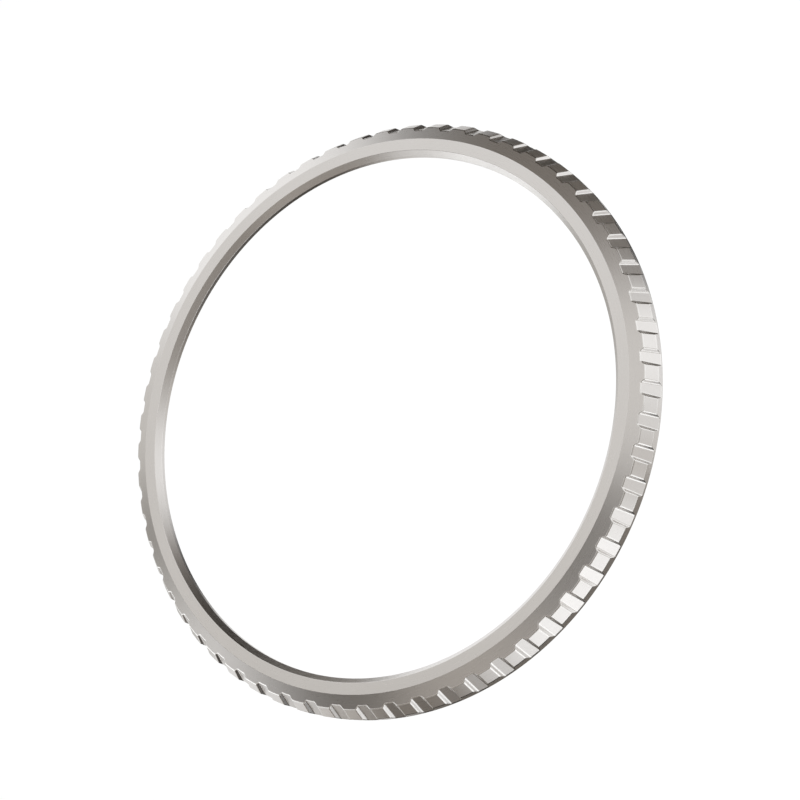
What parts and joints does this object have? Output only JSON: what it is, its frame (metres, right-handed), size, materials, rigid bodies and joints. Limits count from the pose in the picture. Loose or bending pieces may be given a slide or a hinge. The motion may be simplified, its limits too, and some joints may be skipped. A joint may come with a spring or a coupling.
{
  "type": "smartwatch bezel ring",
  "caption": "Notched steel grip ring for a smartwatch front that turns in clicks on a bonded base ring and carries magnets for sensing its angle.",
  "frame": {"origin": "centre of the ring on the bonding face, the plane that lies on the watch case", "axes": "+Z is the axis of turning and points out of the front face; +X passes through the middle of a grip notch"},
  "size_m": [0.046, 0.046, 0.0024],
  "materials": {
    "grip_steel": "satin stainless steel with a fine circular grain",
    "click_resin": "moulded acetal, matt",
    "spring_steel": "drawn spring wire",
    "base_steel": "turned stainless steel",
    "glide_plastic": "low friction plastic film",
    "gasket_rubber": "soft rubber cord",
    "bonding_film": "double-sided bonding film",
    "ball_steel": "polished ball",
    "magnet_plating": "nickel plate"
  },
  "bodies": {
    "base": {"base_ring": "base_steel", "glide_ring": "glide_plastic", "gasket": "gasket_rubber", "bonding_ring": "bonding_film", "click_spring_1": "spring_steel", "click_spring_2": "spring_steel", "click_spring_3": "spring_steel"},
    "bezel": {"bezel_ring": "grip_steel", "click_ring": "click_resin", "retaining_wire": "spring_steel", "magnet_1": "magnet_plating", "magnet_2": "magnet_plating", "magnet_3": "magnet_plating", "magnet_4": "magnet_plating", "magnet_5": "magnet_plating", "magnet_6": "magnet_plating", "magnet_7": "magnet_plating", "magnet_8": "magnet_plating", "magnet_9": "magnet_plating", "magnet_10": "magnet_plating", "magnet_11": "magnet_plating", "magnet_12": "magnet_plating"},
    "ball_1": {"click_ball_1": "ball_steel"},
    "ball_2": {"click_ball_2": "ball_steel"},
    "ball_3": {"click_ball_3": "ball_steel"}
  },
  "joints": [
    {"name": "bezel_turn", "type": "hinge", "parent": "base", "child": "bezel", "pos_m": [0, 0, 0.0012], "axis": [0, 0, 1], "continuous": true},
    {"name": "ball_1_press", "type": "slide", "parent": "base", "child": "ball_1", "axis": [0, 0, 1], "range_m": [-0.00014, 0], "stiffness_N_per_m": 200, "springref_m": 0.0015, "deforming": ["click_spring_1"]},
    {"name": "ball_2_press", "type": "slide", "parent": "base", "child": "ball_2", "axis": [0, 0, 1], "range_m": [-0.00014, 0], "stiffness_N_per_m": 200, "springref_m": 0.0015, "deforming": ["click_spring_2"]},
    {"name": "ball_3_press", "type": "slide", "parent": "base", "child": "ball_3", "axis": [0, 0, 1], "range_m": [-0.00014, 0], "stiffness_N_per_m": 200, "springref_m": 0.0015, "deforming": ["click_spring_3"]}
  ]
}
